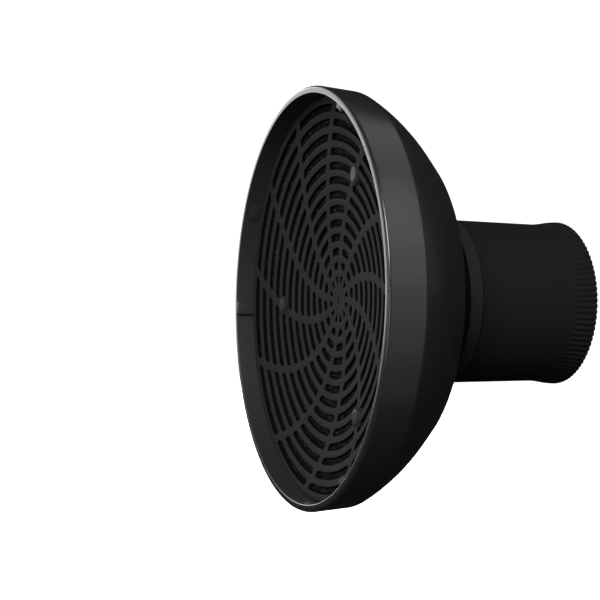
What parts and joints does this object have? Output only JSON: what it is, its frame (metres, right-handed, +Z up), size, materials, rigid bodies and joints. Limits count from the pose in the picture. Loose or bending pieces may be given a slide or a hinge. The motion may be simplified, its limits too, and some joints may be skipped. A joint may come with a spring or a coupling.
{
  "type": "hair dryer diffuser",
  "caption": "Round bowl diffuser for a hair dryer: dished swirl grille with foam behind it, in a bowl that turns on a stretchy rubber sleeve for the nozzle.",
  "frame": {"origin": "centre of the rubber sleeve's mouth, where the dryer's nozzle goes in", "axes": "+X along the axis from the grille towards the dryer, +Z up, one rib of the lip a little clockwise of the top as seen from the front"},
  "size_m": [0.1165, 0.1698, 0.1698],
  "materials": {
    "shell_plastic": "satin black moulding with a fine shine",
    "grille_plastic": "satin black moulding",
    "plug_plastic": "polished black moulding",
    "inner_plastic": "plain black moulding",
    "slip_plastic": "waxy natural white sheet",
    "foam": "open-cell black foam",
    "sleeve_rubber": "matt black moulded rubber",
    "seal_rubber": "smooth black rubber",
    "screw_steel": "zinc plated"
  },
  "bodies": {
    "sleeve": {"rubber_sleeve": "sleeve_rubber", "sleeve_carrier": "inner_plastic", "drag_ring": "seal_rubber"},
    "bowl": {"bowl_shell": "shell_plastic", "retaining_ring": "inner_plastic", "front_slip_washer": "slip_plastic", "rear_slip_washer": "slip_plastic", "ring_screw_1": "screw_steel", "ring_screw_2": "screw_steel", "ring_screw_3": "screw_steel", "ring_screw_4": "screw_steel"},
    "cassette": {"front_grille": "grille_plastic", "foam_disc": "foam", "air_spreader": "inner_plastic", "boss_plug_1": "plug_plastic", "boss_plug_2": "plug_plastic", "boss_plug_3": "plug_plastic", "spreader_screw_1": "screw_steel", "spreader_screw_2": "screw_steel", "spreader_screw_3": "screw_steel"}
  },
  "joints": [
    {"name": "bowl_swivel", "type": "hinge", "parent": "sleeve", "child": "bowl", "pos_m": [-0.0615, 0, 0], "axis": [1, 0, 0], "continuous": true},
    {"name": "grille_release", "type": "slide", "parent": "bowl", "child": "cassette", "axis": [-1, 0, 0], "range_m": [0, 0.06]}
  ]
}
